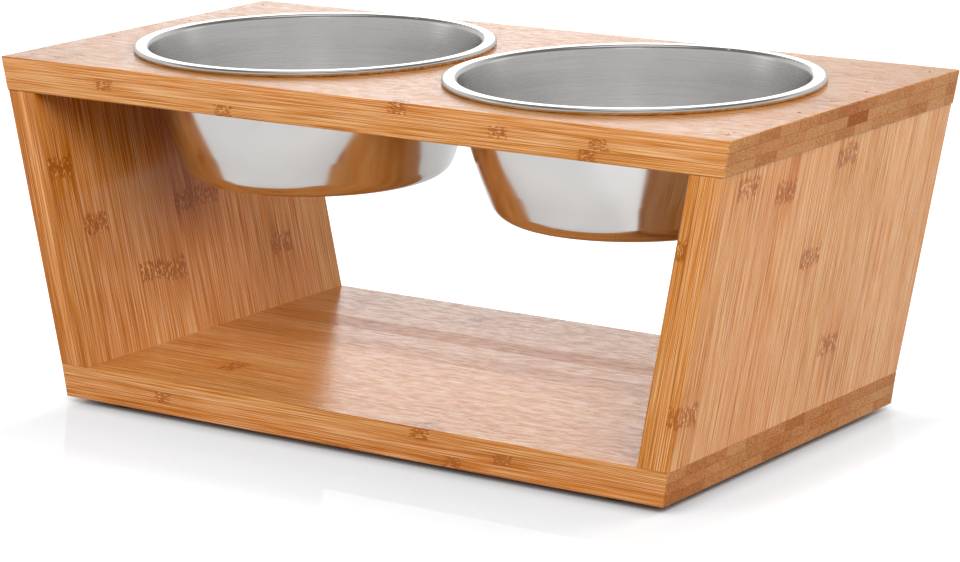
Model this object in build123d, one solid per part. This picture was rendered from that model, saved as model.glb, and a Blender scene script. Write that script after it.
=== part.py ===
from build123d import *
import os
from math import cos, radians, sin, tan

# Raised dog feeder: a box of four bamboo boards, open front and back, with two loose steel bowls.
# Millimetres. +Z is up and -Y is the front. The origin is on the floor, under the middle of the feeder.
# The bowls set the size of the boards: each margin is measured from a bowl rim to a board edge.

# Bowls: pressed steel sheet with a flat rim, whose edge is rolled under into a bead.
rim_diameter = 196.0
sheet = 0.7
bead_diameter = 3.0
rim_ledge = 7.8  # from the outside of the bead to the bowl's wall
bowl_drop = 70.0  # from the top board's upper face to the underside of the bowl
wall_top_angle = 9.5  # of the wall from vertical, under the rim
wall_base_angle = 20.5  # of the wall from vertical, above the base
wall_bow_radius = 2.6 * bowl_drop  # where the wall bends between those angles
base_corner_radius = 12.0
rim_corner_radius = 2.5
base_disc_radius = 45.0  # raised disc that stiffens the base
base_disc_rise = 0.8
base_disc_ramp_angle = 30.0
curl_angle = 240.0  # how far round the bead is rolled

# Boards: one stock thickness, with leaning ends and sides.
board_thickness = 18.0
lean = 11.5  # of the sides and of the top board's ends, from vertical
shelf_end_lean = 9.5  # of the shelf's ends, from vertical
rim_gap = 9.0  # between the two bowl rims
end_margin = 28.0  # from a bowl rim to the end of the top board
front_margin = 14.5  # from a bowl rim to the front or back edge
storage_height = 95.0  # from the shelf to the underside of the bowls
end_reveal = 0.8  # the top board stands this far proud of the side boards
edge_ease = 0.5  # bevel on every edge that a hand touches
bowl_clearance = 1.2  # round the bowl in its cut-out
seat_gap = 0.1  # under the bead

# Brads: flat-sided wire nails with a T head, through the top board and the shelf into the side boards.
brad_length = 32.0
brad_width = 1.2  # across the board's end
brad_thickness = 1.0
brad_head_length = 2.2  # along the board's end
brad_head_thickness = 0.8
brad_point_length = 2.0
brad_sink = 0.8  # of the head below the board's face
brad_inset = 14.0  # of the first and last brad from the front and back edges
brads_per_joint = 4

# Feet: stick-on rubber discs.
foot_height = 3.0
foot_diameter = 20.0
foot_draft = 1.5  # the foot is this much smaller in radius at the floor
foot_end_inset = 33.0  # of its centre from the end of the shelf's underside
foot_front_inset = 15.0  # of its centre from the front or back edge

# Heights and places that follow.
shelf_bottom = foot_height
shelf_top = shelf_bottom + board_thickness
bowl_bottom = shelf_top + storage_height
top_face = bowl_bottom + bowl_drop
top_underside = top_face - board_thickness
bowl_spacing = rim_diameter + rim_gap
half_length = (bowl_spacing + rim_diameter) / 2 + end_margin
depth = rim_diameter + 2 * front_margin
lean_slope = tan(radians(lean))
side_width = board_thickness / cos(radians(lean))  # of a side board's level cut

# Half lengths of the level boards' faces. The shelf's ends are flush with the side boards.
top_underside_x = half_length - board_thickness * lean_slope
shelf_top_x = half_length - end_reveal - (top_face - shelf_top) * lean_slope
shelf_bottom_x = shelf_top_x - board_thickness * tan(radians(shelf_end_lean))

# The bowl's own sizes, as seen from the top face.
rim_radius = rim_diameter / 2
bead_radius = bead_diameter / 2
bowl_radius = rim_radius - rim_ledge  # outside the wall, at the level of the top face
cut_out_radius = bowl_radius + bowl_clearance
LEFT, RIGHT = -1, 1
FRONT, BACK = -1, 1


def side_outer_x(z):
    """Outer face of a side board at a height."""
    return half_length - end_reveal - (top_face - z) * lean_slope


def board(*corners):
    """A board with this outline in the front view, as deep as the feeder."""
    outline = make_face(Polyline(*corners, close=True))
    return extrude(Plane.XZ * outline, depth / 2, both=True)


def level_board(bottom, x_bottom, x_top):
    """The top board or the shelf, with leaning ends and every edge eased."""
    top = bottom + board_thickness
    plain = board((-x_bottom, bottom), (x_bottom, bottom), (x_top, top), (-x_top, top))
    return chamfer(plain.edges(), edge_ease)


def side_board(side):
    """A leaning side board. Its long edges are eased, and its cut ends meet the level boards."""
    corners = [
        (side * side_outer_x(shelf_top), shelf_top),
        (side * side_outer_x(top_underside), top_underside),
        (side * (side_outer_x(top_underside) - side_width), top_underside),
        (side * (side_outer_x(shelf_top) - side_width), shelf_top),
    ]
    plain = board(*corners)
    long_edges = plain.edges().filter_by(lambda edge: abs(edge.tangent_at(0).Z) > 0.5)
    return chamfer(long_edges, edge_ease)


def with_cut_outs(plain):
    """The two round holes that the bowls hang in, with eased edges."""
    middle = (top_face + top_underside) / 2
    for side in (LEFT, RIGHT):
        hole = Cylinder(cut_out_radius, 2 * board_thickness)
        plain -= Pos(side * bowl_spacing / 2, 0, middle) * hole
    rims = plain.edges().filter_by(GeomType.CIRCLE).filter_by(lambda edge: edge.radius > cut_out_radius / 2)
    return chamfer(rims, edge_ease)


def brad():
    """A brad with the top of its head at the origin and its chisel point along +Z."""
    head = brad_head_length / 2
    shank = brad_thickness / 2
    outline = Polyline(
        (-head, 0),
        (head, 0),
        (head, brad_head_thickness),
        (shank, brad_head_thickness),
        (shank, brad_length - brad_point_length),
        (0, brad_length),
        (-shank, brad_length - brad_point_length),
        (-shank, brad_head_thickness),
        (-head, brad_head_thickness),
        close=True,
    )
    return extrude(Plane.YZ * make_face(outline), brad_width / 2, both=True)


def brad_hole():
    """What a driven brad takes from the wood: its own shape, and the slot over its head."""
    slot = Box(brad_width, brad_head_length, 2 * brad_sink, align=(Align.CENTER, Align.CENTER, Align.MAX))
    return brad() + slot


def brad_places(side, face):
    """Where the brads of one joint go. They run down the middle of the leaning side board."""
    way = -1 if face == top_face else 1
    into_wood = Vector(side * sin(radians(lean)), 0, cos(radians(lean))) * way
    across_joint = into_wood.cross(Vector(0, 1, 0))
    x = side * (side_outer_x(face) - side_width / 2)
    first = -depth / 2 + brad_inset
    step = (depth - 2 * brad_inset) / (brads_per_joint - 1)
    places = []
    for number in range(brads_per_joint):
        head = Vector(x, first + number * step, face) + into_wood * brad_sink
        places.append(Plane(origin=head, x_dir=across_joint, z_dir=into_wood).location)
    return places


def bowl(side):
    """A pressed bowl: one sheet from the middle of its base, up the bowed wall and round its bead."""
    rim_top = top_face + seat_gap + bead_diameter
    base = bowl_bottom + sheet
    bend = (base + rim_top) / 2
    top_slope = tan(radians(wall_top_angle))
    base_slope = tan(radians(wall_base_angle))
    wall_bend_radius = bowl_radius - sheet - (top_face - bend) * top_slope
    wall_base_radius = wall_bend_radius - (bend - base) * base_slope
    wall_top_radius = wall_bend_radius + (rim_top - bend) * top_slope
    ramp = base_disc_rise / tan(radians(base_disc_ramp_angle))
    bead_centre = (rim_radius - bead_radius, rim_top - bead_radius)
    upper_skin = FilletPolyline(
        (0, base + base_disc_rise),
        (base_disc_radius, base + base_disc_rise),
        (base_disc_radius + ramp, base),
        (wall_base_radius, base),
        (wall_bend_radius, bend),
        (wall_top_radius, rim_top),
        (bead_centre[0], rim_top),
        radius=[0, 0, base_corner_radius, wall_bow_radius, rim_corner_radius],
    )
    curl = CenterArc(bead_centre, bead_radius, 90, -curl_angle)
    skin = Wire([*upper_skin.edges(), *curl.edges()])
    section = make_face(offset(skin, sheet, kind=Kind.INTERSECTION, side=Side.RIGHT))
    return Pos(side * bowl_spacing / 2, 0, 0) * revolve(Plane.XZ * section, Axis.Z)


def foot(side, end):
    """A rubber disc under one corner of the shelf, tapering to the floor."""
    top, bottom = foot_diameter / 2, foot_diameter / 2 - foot_draft
    disc = Cone(bottom, top, foot_height, align=(Align.CENTER, Align.CENTER, Align.MIN))
    x = side * (shelf_bottom_x - foot_end_inset)
    y = end * (depth / 2 - foot_front_inset)
    return Pos(x, y, 0) * disc


def build():
    """Every piece of the feeder by its node's name."""
    top_board = with_cut_outs(level_board(top_underside, top_underside_x, half_length))
    shelf_board = level_board(shelf_bottom, shelf_bottom_x, shelf_top_x)
    parts = {}
    for side, side_name in ((LEFT, "left"), (RIGHT, "right")):
        leaning = side_board(side)
        top_places = brad_places(side, top_face)
        shelf_places = brad_places(side, shelf_bottom)
        for place in top_places + shelf_places:
            leaning -= place * brad_hole()
        for place in top_places:
            top_board -= place * brad_hole()
        for place in shelf_places:
            shelf_board -= place * brad_hole()
        parts[f"{side_name}_side_board"] = leaning
        parts[f"top_{side_name}_brads"] = Compound(children=[place * brad() for place in top_places])
        parts[f"shelf_{side_name}_brads"] = Compound(children=[place * brad() for place in shelf_places])
        parts[f"{side_name}_bowl"] = bowl(side)
        for end, end_name in ((FRONT, "front"), (BACK, "rear")):
            parts[f"{end_name}_{side_name}_foot"] = foot(side, end)
    parts["top_board"] = top_board
    parts["shelf_board"] = shelf_board
    return parts


os.makedirs("parts", exist_ok=True)
for node, shape in build().items():
    export_step(shape, f"parts/{node}.step")
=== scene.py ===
"""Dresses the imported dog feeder: lacquered bamboo, pressed steel and rubber, in a white studio."""
from math import cos, radians, sin
from typing import NamedTuple

import bpy
from mathutils import Matrix, Vector

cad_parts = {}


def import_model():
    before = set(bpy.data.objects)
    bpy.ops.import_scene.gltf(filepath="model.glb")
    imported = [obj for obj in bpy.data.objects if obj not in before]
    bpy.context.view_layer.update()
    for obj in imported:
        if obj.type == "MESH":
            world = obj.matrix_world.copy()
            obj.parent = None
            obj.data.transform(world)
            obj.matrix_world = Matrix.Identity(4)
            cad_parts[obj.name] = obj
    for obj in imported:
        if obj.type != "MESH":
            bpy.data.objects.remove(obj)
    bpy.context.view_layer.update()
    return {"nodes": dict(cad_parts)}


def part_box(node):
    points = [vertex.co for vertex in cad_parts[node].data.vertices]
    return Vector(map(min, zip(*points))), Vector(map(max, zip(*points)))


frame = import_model()

# The camera, fitted to the edges of the boards.
PHOTO_WIDTH = 960
FOCAL_PIXELS = 3525.2
SENSOR_WIDTH = 36.0
CAMERA_PLACE = Vector((1.0640, -1.4807, 0.5008))
CAMERA_AZIMUTH = radians(35.585)
CAMERA_ELEVATION = radians(13.343)
CAMERA_ROLL = radians(-0.810)

# Bamboo board, in millimetres. A board is three plies of strips, all with the same grain.
MM_PER_METRE = 1000.0
LEAN = radians(11.5)  # of the side boards, from vertical
BOARD_DEPTH = 225.0
PLY_THICKNESS = 6.0
FACE_STRIP_WIDTH = 18.75  # in the two outer plies
CORE_STRIP_WIDTH = 20.3
FACE, CORE, BACK = 1, 0, -1  # the plies: FACE is a level board's upper one, or a side board's outer one
KEYS_PER_PLY = 100  # a strip's key is its number plus this for each ply
CANE_SPREAD = 700.0  # the most that a strip's fibres are shifted along against the next strip's

# Fibres.
FIBRE_FLATNESS = 1.6  # how much wider the bundles of fibre are across a strip than through it
FIBRE_ROUGHNESS = 0.6  # of the noise that they are made of
FIBRE_SWAY = 0.7  # how far they wander across the board
SWAYS_ALONG = 0.012  # in each millimetre

# Knuckles, and the stains that run on from them, along the grain.
KNUCKLE_HALF_HEIGHT = 6.5
KNUCKLE_SOLID_SHARE = 0.6  # of that, before the band starts to fade
KNUCKLE_SHIFT = 9.0  # how far its ragged edge wanders along the grain
RAGS_ALONG = 0.05  # in each millimetre
RAGS_ACROSS = 0.22  # in each millimetre
STAIN_LENGTH = 34.0

# Glue lines: from the middle of a seam to where its line starts to fade, and to where it is gone.
JOINT_LINE = (0.10, 0.55)
PLY_LINE = (0.05, 0.35)
PLY_LINE_STRENGTH = 0.8

# How nearly a surface faces along the grain, where end grain starts and where it is full.
END_GRAIN_START = 0.55
END_GRAIN_FULL = 0.85


class BoardLook(NamedTuple):
    """How one board was laid up. Strip 0 is the one cut by the front edge."""

    seed: float
    paleness: float  # of its cane, from 0 to 1
    face_seam: float  # from the front edge to the first seam of the two outer plies
    core_seam: float
    knuckles: tuple  # (ply, strip, how far along from the middle)
    odd_strips: tuple  # (ply, strip, how much paler than its neighbours)


TOP_BOARD = BoardLook(
    seed=3.0,
    paleness=0.64,
    face_seam=8.3,
    core_seam=10.8,
    knuckles=(
        (FACE, 0, 36),
        (CORE, 0, 97),
        (CORE, 0, 155),
        (BACK, 0, 149),
        (BACK, 0, -75),
        (CORE, 0, -156),
        (FACE, 1, -196),
        (FACE, 6, 214),
        (FACE, 9, -202),
        (FACE, 12, 60),
        (BACK, 12, -120),
        (CORE, 11, -20),
        (BACK, 4, 205),
        (BACK, 8, -190),
    ),
    odd_strips=(
        (CORE, 6, -0.42),
        (CORE, 2, -0.14),
        (CORE, 1, 0.12),
        (CORE, 3, 0.12),
        (CORE, 0, 0.10),
        (FACE, 0, -0.06),
        (BACK, 0, -0.08),
    ),
)
SHELF_BOARD = BoardLook(
    seed=8.0,
    paleness=0.59,
    face_seam=16.7,
    core_seam=15.8,
    knuckles=(
        (CORE, 0, -123),
        (FACE, 0, 46),
        (BACK, 0, 67),
        (CORE, 0, 97),
        (FACE, 2, -110),
        (FACE, 7, 120),
        (FACE, 10, -60),
        (BACK, 3, 30),
        (BACK, 8, -90),
        (CORE, 11, 75),
    ),
    odd_strips=(
        (CORE, 5, -0.20),
        (CORE, 6, 0.14),
        (CORE, 7, -0.22),
        (CORE, 8, 0.12),
        (BACK, 3, -0.16),
        (CORE, 0, 0.08),
        (BACK, 0, -0.08),
        (FACE, 8, -0.26),
        (FACE, 6, -0.12),
    ),
)
LEFT_BOARD = BoardLook(
    seed=11.0,
    paleness=0.57,
    face_seam=18.75,
    core_seam=9.0,
    knuckles=(
        (BACK, 0, 31),
        (BACK, 1, -3),
        (BACK, 3, -36),
        (BACK, 4, -39),
        (BACK, 5, -4),
        (BACK, 6, -3),
        (BACK, 9, -42),
        (FACE, 2, -22),
        (FACE, 4, 48),
        (FACE, 7, 8),
        (FACE, 9, 61),
        (FACE, 10, -35),
    ),
    odd_strips=((FACE, 0, -0.18), (CORE, 0, -0.10), (BACK, 0, -0.14)),
)
RIGHT_BOARD = BoardLook(
    seed=12.0,
    paleness=0.75,
    face_seam=17.6,
    core_seam=12.0,
    knuckles=(
        (FACE, 0, -46),
        (FACE, 1, 67),
        (FACE, 3, 58),
        (FACE, 5, 17),
        (FACE, 6, 67),
        (FACE, 7, -38),
        (BACK, 0, 36),
        (BACK, 3, -30),
        (BACK, 6, 22),
        (BACK, 9, 55),
        (BACK, 10, -48),
    ),
    odd_strips=(
        (FACE, 0, -0.17),
        (CORE, 0, -0.19),
        (BACK, 0, -0.25),
        (FACE, 3, -0.12),
        (FACE, 6, -0.04),
    ),
)


def camera():
    """The photograph's viewpoint."""
    azimuth, elevation = CAMERA_AZIMUTH, CAMERA_ELEVATION
    back = Vector((sin(azimuth) * cos(elevation), -cos(azimuth) * cos(elevation), sin(elevation)))
    right = Vector((0, 0, 1)).cross(back).normalized()
    up = back.cross(right)
    rolled_right = cos(CAMERA_ROLL) * right + sin(CAMERA_ROLL) * up
    rolled_up = cos(CAMERA_ROLL) * up - sin(CAMERA_ROLL) * right
    turn = Matrix((rolled_right, rolled_up, back)).transposed().to_4x4()
    data = bpy.data.cameras.new("camera")
    data.sensor_width = SENSOR_WIDTH
    data.lens = FOCAL_PIXELS / PHOTO_WIDTH * SENSOR_WIDTH
    shot = bpy.data.objects.new("camera", data)
    shot.matrix_world = Matrix.Translation(CAMERA_PLACE) @ turn
    bpy.context.scene.collection.objects.link(shot)
    bpy.context.scene.camera = shot


# Where a Mix node keeps its sockets: one row for numbers and one for colours.
MIX_FACTOR = 0
MIX_NUMBERS = (2, 3)
MIX_COLOURS = (6, 7)
MIX_NUMBER_OUT = 0
MIX_COLOUR_OUT = 2


class Shader:
    """A node tree, with short calls that add a node and join it up."""

    def __init__(self, owner):
        self.owner = owner
        owner.use_nodes = True
        self.tree = owner.node_tree
        self.tree.nodes.clear()

    def node(self, kind, inputs=(), **settings):
        """A node with its settings, and its inputs set or joined by name or number."""
        made = self.tree.nodes.new(kind)
        for setting, value in settings.items():
            setattr(made, setting, value)
        for key, value in dict(inputs).items():
            self.join(made.inputs[key], value)
        return made

    def join(self, socket, value):
        """Links a socket to another one, sets it to a value, or leaves it alone when that is None."""
        if isinstance(value, bpy.types.NodeSocket):
            self.tree.links.new(value, socket)
        elif value is not None:
            socket.default_value = value

    def math(self, operation, a, b=None, c=None, clamp=False):
        """One Math node's result."""
        inputs = {0: a, 1: b, 2: c}
        return self.node("ShaderNodeMath", inputs, operation=operation, use_clamp=clamp).outputs[0]

    def vector(self, x, y, z):
        """A vector from three numbers or sockets."""
        return self.node("ShaderNodeCombineXYZ", {0: x, 1: y, 2: z}).outputs[0]

    def parts(self, vector):
        """The three numbers of a vector."""
        return self.node("ShaderNodeSeparateXYZ", {0: vector}).outputs

    def from_point(self, point):
        """The place on the object, measured from a point."""
        place = self.node("ShaderNodeTexCoord").outputs["Object"]
        return self.node("ShaderNodeVectorMath", {0: place, 1: point}, operation="SUBTRACT").outputs[0]

    def dot(self, a, b):
        """The dot product of two vectors."""
        return self.node("ShaderNodeVectorMath", {0: a, 1: b}, operation="DOT_PRODUCT").outputs["Value"]

    def ramp(self, value, low, high, to_low=0.0, to_high=1.0):
        """A smooth step from to_low at low up to to_high at high."""
        inputs = {"Value": value, "From Min": low, "From Max": high, "To Min": to_low, "To Max": to_high}
        return self.node("ShaderNodeMapRange", inputs, interpolation_type="SMOOTHSTEP").outputs[0]

    def spread(self, noise, low=0.0, high=1.0):
        """Noise spread from low to high. Most of its own values lie between 0.3 and 0.7."""
        return self.ramp(noise, 0.3, 0.7, low, high)

    def noise(self, where, scale=1.0, detail=2.0, roughness=0.5):
        """Noise between 0 and 1, one feature to each unit of where when the scale is 1."""
        inputs = {"Vector": where, "Scale": scale, "Detail": detail, "Roughness": roughness}
        return self.node("ShaderNodeTexNoise", inputs).outputs["Fac"]

    def choose(self, factor, a, b):
        """a where the factor is 0, and b where it is 1."""
        first, second = MIX_NUMBERS
        inputs = {MIX_FACTOR: factor, first: a, second: b}
        return self.node("ShaderNodeMix", inputs, data_type="FLOAT").outputs[MIX_NUMBER_OUT]

    def swing(self, start, *swings):
        """A start value, plus each weight times how far its noise is from one half."""
        total = start
        for weight, noise in swings:
            total = self.math("MULTIPLY_ADD", self.math("SUBTRACT", noise, 0.5), weight, total)
        return total

    def colours(self, value, *stops):
        """A colour picked along a row of (place, colour) stops."""
        made = self.node("ShaderNodeValToRGB", {"Fac": value})
        row = made.color_ramp.elements
        row[0].position, row[0].color = stops[0]
        row[1].position, row[1].color = stops[-1]
        for place, colour in stops[1:-1]:
            row.new(place).color = colour
        return made.outputs[0]

    def mix(self, factor, a, b, blend="MIX"):
        """Two colours mixed: a where the factor is 0, and b, or a blended with b, where it is 1."""
        first, second = MIX_COLOURS
        inputs = {MIX_FACTOR: factor, first: a, second: b}
        made = self.node("ShaderNodeMix", inputs, data_type="RGBA", blend_type=blend)
        return made.outputs[MIX_COLOUR_OUT]

    def bump(self, height, distance, strength):
        """A bumped normal. Distance is the real height in metres of a height of 1."""
        inputs = {"Height": height, "Distance": distance, "Strength": strength}
        return self.node("ShaderNodeBump", inputs).outputs[0]

    def principled(self, inputs):
        """A Principled shader."""
        return self.node("ShaderNodeBsdfPrincipled", inputs)

    def finish(self, shader, output="ShaderNodeOutputMaterial"):
        """Sends a shader to the output, and gives back what owns the tree."""
        self.node(output, {"Surface": shader.outputs[0]})
        return self.owner


def new_shader(name):
    """The empty shader of a new material."""
    return Shader(bpy.data.materials.new(name))


def rgb(red, green, blue):
    """A linear colour with full alpha."""
    return (red, green, blue, 1.0)


WHITE = rgb(1, 1, 1)

# Bamboo colours, from scorched through dark fibres to pale ones, and what tints them.
SCORCHED = rgb(0.31, 0.080, 0.000)
FIBRE_DARK = rgb(0.49, 0.145, 0.000)
FIBRE_DARK_PLACE = 0.40  # the paleness that has this colour
FIBRE_PALE = rgb(0.67, 0.360, 0.160)
PINKISH = rgb(1.01, 0.98, 0.95)
YELLOWISH = rgb(0.98, 1.03, 1.00)
END_GRAIN_TINT = rgb(0.70, 0.64, 0.52)

# How much each thing makes the wood paler or darker.
STRIP_CHANGE = 0.14
STRIP_CHANGE_ON_ENDS = 0.50
BAND_CHANGE = 0.35
LINE_CHANGE = 0.62
FINE_CHANGE = 3.50
FIBRES_ON_ENDS = 0.70  # the share of those three that end grain keeps
END_DOT_CHANGE = 1.2  # of the lines, on end grain alone
KNUCKLE_CHANGE = 4.6
KNUCKLE_DARKENING = 0.09  # the more, the more of a knuckle's dashes are dark
STAIN_CHANGE = -0.15
SEAM_CHANGE = -0.42

# Lacquer: its weight is 1 on plain faces.
LACQUER_ON_ENDS = 0.45
LACQUER_THIN = 0.60
THIN_SPOTS = (0.40, 0.62)  # of their noise, from where the lacquer is full to where it is thin
LACQUER_ON_ODD_STRIPS = 1.2  # how much of an odd strip's change its lacquer takes on

# Relief, in metres, and how strongly it shows.
WOOD_RELIEF = 0.00005
LACQUER_RELIEF = 0.00010
BAMBOO_BUMP = 0.7
FINE_HEIGHT = 0.5  # of single fibres, against the wood's lines
SEAM_DEPTH = 0.5  # of a seam, against the wood's lines
FINE_HEIGHT_IN_LACQUER = 1.2  # of single fibres, against the lacquer's ripple

BAMBOO_ROUGHNESS = (0.36, 0.48)


class Board:
    """A board's own grain. Places are in millimetres: u along, v across and w through it."""

    def __init__(self, shade, centre, grain, across, through, look):
        self.shade = shade
        self.grain = grain
        place = shade.from_point(centre)
        self.u, self.v, self.w = (
            shade.math("MULTIPLY", shade.dot(place, axis), MM_PER_METRE)
            for axis in (grain, across, through)
        )
        upper = shade.math("GREATER_THAN", self.w, PLY_THICKNESS / 2)
        lower = shade.math("LESS_THAN", self.w, -PLY_THICKNESS / 2)
        self.ply = shade.math("SUBTRACT", upper, lower)
        core = shade.math("SUBTRACT", 1.0, shade.math("ADD", upper, lower))
        face_place = self.strips(FACE_STRIP_WIDTH, look.face_seam)
        core_place = self.strips(CORE_STRIP_WIDTH, look.core_seam)
        self.strip_place = shade.choose(core, face_place, core_place)
        self.strip = shade.math("FLOOR", self.strip_place)
        self.key = shade.math("MULTIPLY_ADD", self.ply, float(KEYS_PER_PLY), self.strip)
        # Each strip has its own tone, its own hue and its own place along the cane.
        chance = shade.node("ShaderNodeTexWhiteNoise", {"Vector": shade.vector(self.key, look.seed, 0.0)})
        self.tone = chance.outputs["Value"]
        cane, self.hue, _ = shade.parts(chance.outputs["Color"])
        self.cane = shade.math("MULTIPLY_ADD", cane, CANE_SPREAD, self.u)
        joint = shade.vector(shade.math("ROUND", self.strip_place), self.ply, look.seed)
        self.joint = shade.node("ShaderNodeTexWhiteNoise", {"Vector": joint}).outputs["Value"]
        # Streaks, from broad bands to single fibres, a knuckle's dashes, and two for the lacquer.
        self.bands = self.streaks(length=400.0, width=4.5, detail=1)
        self.lines = self.streaks(length=180.0, width=1.3)
        self.fine = self.streaks(length=60.0, width=0.6)
        self.dashes = self.streaks(length=2.4, width=1.0, detail=1)
        self.ripple = self.streaks(length=9.0, width=1.2)
        self.thin = self.streaks(length=10.0, width=2.8)
        self.knuckle, self.stain = self.knuckles(look.knuckles)
        self.seam = self.seams()
        self.end = self.end_grain()
        self.odd = self.oddness(look.odd_strips)

    def strips(self, width, first_seam):
        """Counts strips of one width back from the front edge."""
        start = 1 + (BOARD_DEPTH / 2 - first_seam) / width
        return self.shade.math("MULTIPLY_ADD", self.v, 1 / width, start)

    def streaks(self, length, width, detail=2):
        """Noise drawn out along the grain: lines on the faces, and dots on the end grain."""
        shade = self.shade
        slow = shade.vector(shade.math("MULTIPLY", self.cane, SWAYS_ALONG), self.strip, self.ply)
        sway = shade.math("MULTIPLY_ADD", shade.noise(slow, detail=1), FIBRE_SWAY, self.v)
        where = shade.vector(
            shade.math("MULTIPLY", self.cane, 1 / length),
            shade.math("MULTIPLY", sway, 1 / width),
            shade.math("MULTIPLY", self.w, FIBRE_FLATNESS / width),
        )
        return shade.noise(where, detail=detail, roughness=FIBRE_ROUGHNESS)

    def in_strip(self, ply, strip):
        """1 within one strip of one ply."""
        return self.shade.math("COMPARE", self.key, float(strip + KEYS_PER_PLY * ply), 0.5)

    def knuckles(self, places):
        """The bands where the cane had its knuckles, and the stains that run on from them."""
        shade = self.shade
        ragged = shade.vector(
            shade.math("MULTIPLY", self.cane, RAGS_ALONG),
            shade.math("MULTIPLY", self.v, RAGS_ACROSS),
            shade.math("MULTIPLY", self.w, RAGS_ACROSS),
        )
        u = shade.swing(self.u, (KNUCKLE_SHIFT, shade.noise(ragged)))
        fade_start = KNUCKLE_HALF_HEIGHT * KNUCKLE_SOLID_SHARE
        bands, stains = 0.0, 0.0
        for ply, strip, along in places:
            here = self.in_strip(ply, strip)
            away = shade.math("ABSOLUTE", shade.math("SUBTRACT", u, float(along)))
            band = shade.ramp(away, fade_start, KNUCKLE_HALF_HEIGHT, 1.0, 0.0)
            stain = shade.ramp(away, 0.0, STAIN_LENGTH, 1.0, 0.0)
            bands = shade.math("MULTIPLY_ADD", band, here, bands)
            stains = shade.math("MULTIPLY_ADD", stain, here, stains)
        return bands, stains

    def oddness(self, odd_strips):
        """How much paler the odd strips are than chance makes them."""
        total = 0.0
        for ply, strip, paler in odd_strips:
            total = self.shade.math("MULTIPLY_ADD", self.in_strip(ply, strip), paler, total)
        return total

    def seams(self):
        """Glue lines between strips, some darker than others, and between plies."""
        shade = self.shade
        to_joint = shade.math("MULTIPLY", shade.math("PINGPONG", self.strip_place, 0.5), FACE_STRIP_WIDTH)
        joint = shade.math("MULTIPLY", shade.ramp(to_joint, *JOINT_LINE, 1.0, 0.0), self.joint)
        past_ply = shade.math("SUBTRACT", shade.math("ABSOLUTE", self.w), PLY_THICKNESS / 2)
        to_ply = shade.math("ABSOLUTE", past_ply)
        return shade.math("MAXIMUM", joint, shade.ramp(to_ply, *PLY_LINE, PLY_LINE_STRENGTH, 0.0))

    def end_grain(self):
        """1 where the board is cut across its grain."""
        normal = self.shade.node("ShaderNodeTexCoord").outputs["Normal"]
        facing = self.shade.math("ABSOLUTE", self.shade.dot(normal, self.grain))
        return self.shade.ramp(facing, END_GRAIN_START, END_GRAIN_FULL)

    def paleness(self, start):
        """How pale the wood is: 0 is scorched, and 1 is the palest fibre."""
        shade, end = self.shade, self.end
        pale = shade.math("ADD", start, self.odd)
        strip_change = shade.math("MULTIPLY_ADD", end, STRIP_CHANGE_ON_ENDS - STRIP_CHANGE, STRIP_CHANGE)
        fibres_kept = shade.math("MULTIPLY_ADD", end, FIBRES_ON_ENDS - 1.0, 1.0)
        streaks = ((BAND_CHANGE, self.bands), (LINE_CHANGE, self.lines), (FINE_CHANGE, self.fine))
        fibre = shade.swing(0.0, *streaks)
        end_dots = shade.math("MULTIPLY", end, END_DOT_CHANGE)
        pale = shade.swing(pale, (strip_change, self.tone), (end_dots, self.lines))
        pale = shade.math("MULTIPLY_ADD", fibre, fibres_kept, pale)
        marks = shade.math("MULTIPLY", self.knuckle, KNUCKLE_CHANGE)
        pale = shade.swing(pale, (marks, shade.math("SUBTRACT", self.dashes, KNUCKLE_DARKENING)))
        pale = shade.math("MULTIPLY_ADD", self.stain, STAIN_CHANGE, pale)
        return shade.math("MULTIPLY_ADD", self.seam, SEAM_CHANGE, pale)

    def colour(self, paleness):
        """The wood's colour, tinted a little from strip to strip and browner on the end grain."""
        shade = self.shade
        stops = ((0.0, SCORCHED), (FIBRE_DARK_PLACE, FIBRE_DARK), (1.0, FIBRE_PALE))
        plain = shade.colours(paleness, *stops)
        tinted = shade.mix(1.0, plain, shade.mix(self.hue, PINKISH, YELLOWISH), "MULTIPLY")
        return shade.mix(self.end, tinted, END_GRAIN_TINT, "MULTIPLY")

    def relief(self):
        """How high the wood stands: its fibres show, and its seams lie a little lower."""
        fibres = self.shade.swing(0.0, (1.0, self.lines), (FINE_HEIGHT, self.fine))
        return self.shade.math("MULTIPLY_ADD", self.seam, -SEAM_DEPTH, fibres)

    def lacquer_relief(self):
        """How high the lacquer stands: it ripples, and follows the single fibres under it."""
        return self.shade.swing(self.ripple, (FINE_HEIGHT_IN_LACQUER, self.fine))

    def lacquer(self):
        """The weight of the lacquer: less on end grain, in thin spots and on dark odd strips."""
        shade = self.shade
        on_ends = shade.ramp(self.end, 0.0, 1.0, 1.0, LACQUER_ON_ENDS)
        in_spots = shade.ramp(self.thin, *THIN_SPOTS, 1.0, LACQUER_THIN)
        weight = shade.math("MULTIPLY", on_ends, in_spots)
        on_strips = shade.math("MULTIPLY_ADD", self.odd, LACQUER_ON_ODD_STRIPS, 1.0)
        return shade.math("MULTIPLY", weight, on_strips, clamp=True)


def bamboo(name, centre, grain, across, through, look):
    """Three-ply bamboo under satin lacquer: strips, fibres, knuckles, glue lines and end grain."""
    shade = new_shader(name)
    board = Board(shade, centre, grain, across, through, look)
    inputs = {
        "Base Color": board.colour(board.paleness(look.paleness)),
        "Roughness": shade.spread(board.lines, *BAMBOO_ROUGHNESS),
        "IOR": 1.10,  # low, because the shine is the lacquer's
        "Coat Weight": board.lacquer(),
        "Coat Roughness": 0.20,
        "Coat IOR": 1.50,
        "Normal": shade.bump(board.relief(), WOOD_RELIEF, BAMBOO_BUMP),
        "Coat Normal": shade.bump(board.lacquer_relief(), LACQUER_RELIEF, BAMBOO_BUMP),
    }
    return shade.finish(shade.principled(inputs))


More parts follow.
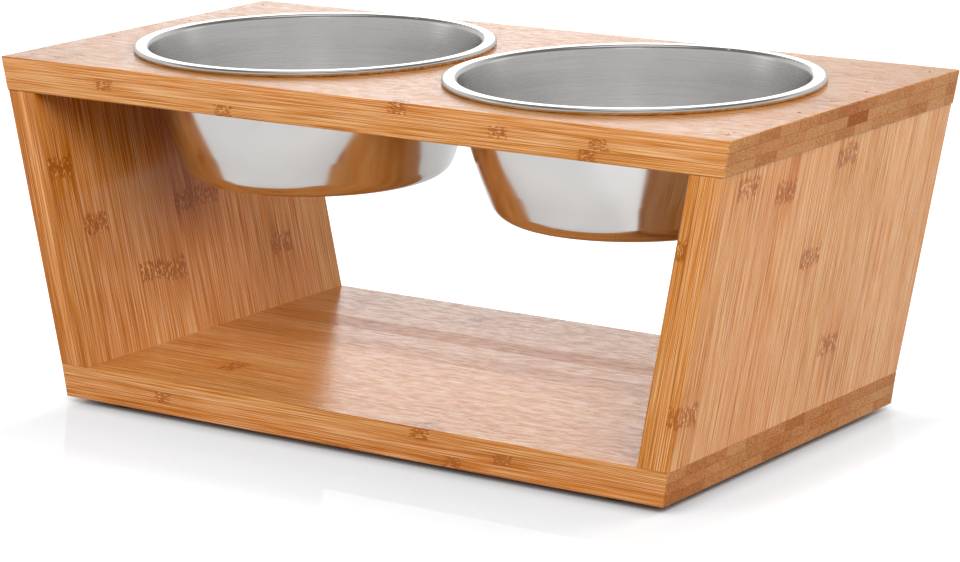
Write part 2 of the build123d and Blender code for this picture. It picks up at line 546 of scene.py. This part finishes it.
# Steel, in metres. A roughness is a pair: where its noise is lowest, and where it is highest.
BRUSHED_EDGE = 0.0030  # below the rim's top, and all brushed below this
BRIGHT_EDGE = 0.0012  # below the rim's top, and all bright above this
FACING_IN = 0.1  # how much a surface has to face inwards to count as inside
RINGS_PER_METRE = 1100.0
RING_CHANGE = 1.3  # how much the rings change in each radian round the bowl
SMUDGES_PER_METRE = 28.0
BRUSHED = (0.15, 0.30)
POLISHED = (0.11, 0.17)
RING_RELIEF = 0.00004
RING_BUMP = 0.6
STEEL_DARK = rgb(0.68, 0.67, 0.655)
STEEL_LIGHT = rgb(0.73, 0.72, 0.71)
WIRE_DARK = rgb(0.10, 0.075, 0.06)
WIRE_LIGHT = rgb(0.28, 0.24, 0.21)
WIRE_ROUGHNESS = (0.35, 0.60)
WIRE_GRIT_PER_METRE = 3000.0

# Rubber.
RUBBER_DARK = rgb(0.020, 0.016, 0.014)
RUBBER_LIGHT = rgb(0.055, 0.045, 0.040)
RUBBER_ROUGHNESS = (0.50, 0.75)
RUBBER_GRAIN_PER_METRE = 1800.0
RUBBER_RELIEF = 0.0001
RUBBER_BUMP = 0.4


def inside_of_bowl(shade, outward, z, rim_top):
    """1 on the inside of the bowl, under its bright rim, and 0 elsewhere."""
    normal = shade.node("ShaderNodeTexCoord").outputs["Normal"]
    facing_in = shade.math("SUBTRACT", shade.parts(normal)[2], shade.dot(normal, outward))
    below_rim = shade.ramp(z, rim_top - BRUSHED_EDGE, rim_top - BRIGHT_EDGE, 1.0, 0.0)
    return shade.math("MULTIPLY", shade.ramp(facing_in, -FACING_IN, FACING_IN), below_rim)


def brushed_rings(shade, x, y, z, radius):
    """Noise in rings, left by brushing the bowl as it turns."""
    along_wall = shade.math("MULTIPLY", shade.math("ADD", radius, z), RINGS_PER_METRE)
    angle = shade.math("MULTIPLY", shade.math("ARCTAN2", y, x), RING_CHANGE)
    return shade.noise(shade.vector(along_wall, angle, 0.0), detail=4, roughness=0.7)


def bowl_steel(name, centre, rim_top):
    """Pressed stainless steel: bright outside and on the rim, and brushed in rings inside."""
    shade = new_shader(name)
    place = shade.from_point(centre)
    x, y, z = shade.parts(place)
    flat = shade.vector(x, y, 0.0)
    radius = shade.node("ShaderNodeVectorMath", {0: flat}, operation="LENGTH").outputs["Value"]
    outward = shade.node("ShaderNodeVectorMath", {0: flat}, operation="NORMALIZE").outputs[0]
    inside = inside_of_bowl(shade, outward, z, rim_top)
    rings = brushed_rings(shade, x, y, z, radius)
    smudge = shade.noise(place, scale=SMUDGES_PER_METRE, detail=3)
    brushed = shade.spread(rings, *BRUSHED)
    polished = shade.spread(smudge, *POLISHED)
    change = shade.math("MULTIPLY", inside, shade.math("SUBTRACT", brushed, polished))
    inputs = {
        "Base Color": shade.mix(shade.spread(smudge), STEEL_DARK, STEEL_LIGHT),
        "Metallic": 1.0,
        "Roughness": shade.math("ADD", change, polished),
        "Normal": shade.bump(shade.math("MULTIPLY", rings, inside), RING_RELIEF, RING_BUMP),
    }
    return shade.finish(shade.principled(inputs))


def brad_steel():
    """Dull wire with a little grit."""
    shade = new_shader("brad_steel")
    grit = shade.noise(shade.from_point(Vector()), scale=WIRE_GRIT_PER_METRE, detail=3)
    inputs = {
        "Base Color": shade.mix(grit, WIRE_DARK, WIRE_LIGHT),
        "Metallic": 1.0,
        "Roughness": shade.spread(grit, *WIRE_ROUGHNESS),
    }
    return shade.finish(shade.principled(inputs))


def foot_rubber():
    """Dark moulded rubber with a fine grain."""
    shade = new_shader("foot_rubber")
    grain = shade.noise(shade.from_point(Vector()), scale=RUBBER_GRAIN_PER_METRE, detail=3)
    inputs = {
        "Base Color": shade.mix(grain, RUBBER_DARK, RUBBER_LIGHT),
        "Roughness": shade.spread(grain, *RUBBER_ROUGHNESS),
        "Normal": shade.bump(grain, RUBBER_RELIEF, RUBBER_BUMP),
    }
    return shade.finish(shade.principled(inputs))


def dress(node, material):
    """Gives a CAD node its finish."""
    for slot in frame["nodes"][node].material_slots:
        slot.material = material


def middle(node):
    """The middle of a node's box."""
    low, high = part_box(node)
    return (low + high) / 2


def dress_boards():
    """Each board gets its own bamboo, with the grain along its length."""
    x, y, z = Vector((1, 0, 0)), Vector((0, 1, 0)), Vector((0, 0, 1))
    for node, look in (("top_board", TOP_BOARD), ("shelf_board", SHELF_BOARD)):
        dress(node, bamboo(f"bamboo_{node}", middle(node), x, y, z, look))
    for node, side, look in (("left_side_board", -1, LEFT_BOARD), ("right_side_board", 1, RIGHT_BOARD)):
        up_board = Vector((side * sin(LEAN), 0, cos(LEAN)))
        out_of_board = Vector((side * cos(LEAN), 0, -sin(LEAN)))
        dress(node, bamboo(f"bamboo_{node}", middle(node), up_board, y, out_of_board, look))


def dress_metal_and_rubber():
    """Bowls, brads and feet."""
    wire, rubber = brad_steel(), foot_rubber()
    for side in ("left", "right"):
        node = f"{side}_bowl"
        low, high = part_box(node)
        axis = Vector(((low.x + high.x) / 2, (low.y + high.y) / 2, 0))
        dress(node, bowl_steel(f"steel_{node}", axis, high.z))
        dress(f"top_{side}_brads", wire)
        dress(f"shelf_{side}_brads", wire)
        for end in ("front", "rear"):
            dress(f"{end}_{side}_foot", rubber)


# The floor, in metres: glossy white, with a dim mirror image, and a soft shadow that is partly real and
# partly painted into its glow.
FLOOR_HALF = 6.0  # from the feeder to its edge
FLOOR_BOUNCE = rgb(0.54, 0.54, 0.54)  # its colour for the light that it gives back to the feeder
FLOOR_SEEN_DARK = rgb(0.34, 0.34, 0.34)  # its colour for the camera, which its glow adds to
FLOOR_SEEN_LIGHT = rgb(0.36, 0.36, 0.36)
FLOOR_SPECKS_PER_METRE = 60.0

# The floor's glow: its level for the camera near the feeder, lower there as painted shade, and away from
# it, and in reflections.
FLOOR_GLOW_NEAR = 0.635
FLOOR_GLOW_AWAY = 1.0
FLOOR_GLOW_REFLECTED = 0.35
CONTACT_REACH = 0.016
CONTACT_EDGE = (0.10, 0.95)  # of openness, from where the painted contact shadow is darkest to where it is clear
# Painted contact shadow: a dark warm brown in the floor's glow where the feeder stands close.
CONTACT_SHADOW_COLOUR = rgb(0.045, 0.018, 0.012)
SHADOW_REACH = 0.22
SHADOW_COLOUR = rgb(0.32, 0.45, 0.53)  # painted shadow round the feeder, bluish, against the warm light that the wood sends down
OPENNESS_RAYS = 8

# Where the painted shadow starts to fade on each side of the feeder, and where it is gone.
FADE_IN_FRONT = (-0.16, -0.26)
FADE_BEHIND = (0.08, 0.18)
FADE_LEFT = (-0.17, -0.22)
FADE_RIGHT = (0.20, 0.28)


def clear_of_feeder(shade, place):
    """1 on the floor away from the feeder, and 0 near it."""
    x, y, _ = shade.parts(place)
    in_front = shade.ramp(y, *FADE_IN_FRONT)
    behind = shade.ramp(y, *FADE_BEHIND)
    beside = shade.math("MAXIMUM", shade.ramp(x, *FADE_LEFT), shade.ramp(x, *FADE_RIGHT))
    return shade.math("MAXIMUM", shade.math("MAXIMUM", in_front, behind), beside)


def openness(shade, reach):
    """How much of the room the floor sees past whatever is within reach."""
    inputs = {"Distance": reach}
    return shade.node("ShaderNodeAmbientOcclusion", inputs, samples=OPENNESS_RAYS).outputs["AO"]


def floor_glow(shade, place, rays):
    """The floor's own light: full and white away from the feeder, and darkened near it with painted
    shadow.
    """
    near = openness(shade, CONTACT_REACH)
    wide = openness(shade, SHADOW_REACH)
    # Painted contact shadow, dark brown where the feeder stands close.
    painted_contact_shadow = shade.mix(shade.ramp(near, *CONTACT_EDGE), CONTACT_SHADOW_COLOUR, WHITE)
    # Painted soft shadow, bluish grey, darker where less of the room is open.
    painted_soft_shadow = shade.mix(wide, SHADOW_COLOUR, WHITE)
    painted_shade = shade.mix(1.0, painted_contact_shadow, painted_soft_shadow, "MULTIPLY")
    clear = clear_of_feeder(shade, place)
    colour = shade.mix(clear, painted_shade, WHITE)
    level = shade.ramp(clear, 0.0, 1.0, FLOOR_GLOW_NEAR, FLOOR_GLOW_AWAY)
    glow = shade.math("MULTIPLY", rays["Is Camera Ray"], level)
    glow = shade.math("MULTIPLY_ADD", rays["Is Glossy Ray"], FLOOR_GLOW_REFLECTED, glow)
    return shade.node("ShaderNodeEmission", {"Color": colour, "Strength": glow})


def floor_white():
    """Glossy white, with its own glow."""
    shade = new_shader("floor_white")
    place = shade.from_point(Vector())
    rays = shade.node("ShaderNodeLightPath").outputs
    speck = shade.noise(place, scale=FLOOR_SPECKS_PER_METRE)
    seen = shade.mix(speck, FLOOR_SEEN_DARK, FLOOR_SEEN_LIGHT)
    inputs = {
        "Base Color": shade.mix(rays["Is Camera Ray"], FLOOR_BOUNCE, seen),
        "Roughness": 0.03,
        "IOR": 1.06,  # low, so that the mirror image is dim
    }
    lit = shade.principled(inputs)
    glow = floor_glow(shade, place, rays)
    both = shade.node("ShaderNodeAddShader", {0: lit.outputs[0], 1: glow.outputs[0]})
    return shade.finish(both)


def floor():
    """A square of floor round the feeder."""
    half = FLOOR_HALF
    corners = [(-half, -half, 0), (half, -half, 0), (half, half, 0), (-half, half, 0)]
    mesh = bpy.data.meshes.new("floor")
    mesh.from_pydata(corners, [], [(0, 1, 2, 3)])
    plane = bpy.data.objects.new("floor", mesh)
    bpy.context.scene.collection.objects.link(plane)
    plane.data.materials.append(floor_white())


# The room: its level as light, and how its walls and ceiling show in lacquer and steel.
SOFT_LIGHT = 0.07
WALL_GLOW = 0.78
BACKDROP = Vector((-0.58, 0.81, 0.0))  # the way from the feeder to a brighter wall
BACKDROP_GLOW = 0.90
BACKDROP_EDGE = (0.20, 0.80)  # cosines of the angle to it, from its edge to where it is full
CEILING_EDGE = (0.48, 0.72)  # sines of the height, from the top of the walls to the dim ceiling
CEILING_SHARE = 0.32  # of the walls' glow


class Window(NamedTuple):
    """A brighter round patch of the room, at its full level over the inner third."""

    toward: Vector
    level: float
    width: float  # from its middle to where it has faded out


WINDOWS = (
    Window(Vector((-0.90, -0.44, 0.20)), 1.2, radians(18)),
    Window(Vector((0.70, 0.71, 0.26)), 1.2, radians(18)),
    Window(Vector((-0.58, 0.785, 0.22)), 2.7, radians(11.5)),
    Window(Vector((0.51, -0.72, 0.47)), 1.1, radians(18)),
    Window(Vector((0.0, 0.0, 1.0)), 1.3, radians(27)),
)


def world():
    """A room that is white to the camera, even as light, and shows its windows in reflections."""
    sky = bpy.data.worlds.new("studio")
    bpy.context.scene.world = sky
    shade = Shader(sky)
    rays = shade.node("ShaderNodeLightPath").outputs
    way = shade.node("ShaderNodeTexCoord").outputs["Generated"]
    up = shade.math("ABSOLUTE", shade.parts(way)[2])
    behind = shade.dot(way, BACKDROP)
    glow = shade.ramp(behind, *BACKDROP_EDGE, WALL_GLOW, BACKDROP_GLOW)
    room = shade.math("MULTIPLY", shade.ramp(up, *CEILING_EDGE, 1.0, CEILING_SHARE), glow)
    for window in WINDOWS:
        toward = shade.dot(way, window.toward.normalized())
        patch = shade.ramp(toward, cos(window.width), cos(window.width / 3), 0.0, window.level)
        room = shade.math("MAXIMUM", room, patch)
    bright = shade.math("MAXIMUM", rays["Is Camera Ray"], rays["Is Transmission Ray"])
    shown = shade.math("MULTIPLY", rays["Is Glossy Ray"], room)
    strength = shade.math("MAXIMUM", shade.math("MAXIMUM", shown, bright), SOFT_LIGHT)
    shade.finish(shade.node("ShaderNodeBackground", {"Strength": strength}), "ShaderNodeOutputWorld")


class Softbox(NamedTuple):
    """A square lamp that looks at the feeder."""

    name: str
    place: Vector
    size: float
    watts: float


LAMP_AIM = Vector((0.0, 0.0, 0.1))
SOFTBOXES = (
    Softbox("front", Vector((-1.0, -1.5, 0.7)), 1.0, 18.0),
    Softbox("left", Vector((-2.2, 0.0, 0.6)), 1.0, 12.0),
    Softbox("right", Vector((2.2, 0.5, 0.7)), 1.0, 8.0),
    Softbox("back", Vector((1.1, 1.9, 1.2)), 1.2, 38.0),
    Softbox("key", Vector((1.3, -1.2, 1.4)), 1.4, 46.0),
)


def add_lamp(softbox):
    """Hangs one lamp, which doesn't show in lacquer or steel."""
    data = bpy.data.lights.new(softbox.name, "AREA")
    data.size = softbox.size
    data.energy = softbox.watts
    lamp = bpy.data.objects.new(softbox.name, data)
    lamp.location = softbox.place
    lamp.visible_glossy = False
    lamp.rotation_mode = "QUATERNION"
    lamp.rotation_quaternion = (LAMP_AIM - softbox.place).to_track_quat("-Z", "Y")
    bpy.context.scene.collection.objects.link(lamp)


def studio():
    """Floor, white room and soft lamps."""
    floor()
    world()
    for softbox in SOFTBOXES:
        add_lamp(softbox)


camera()
dress_boards()
dress_metal_and_rubber()
studio()
bpy.context.scene.view_settings.view_transform = "Standard"
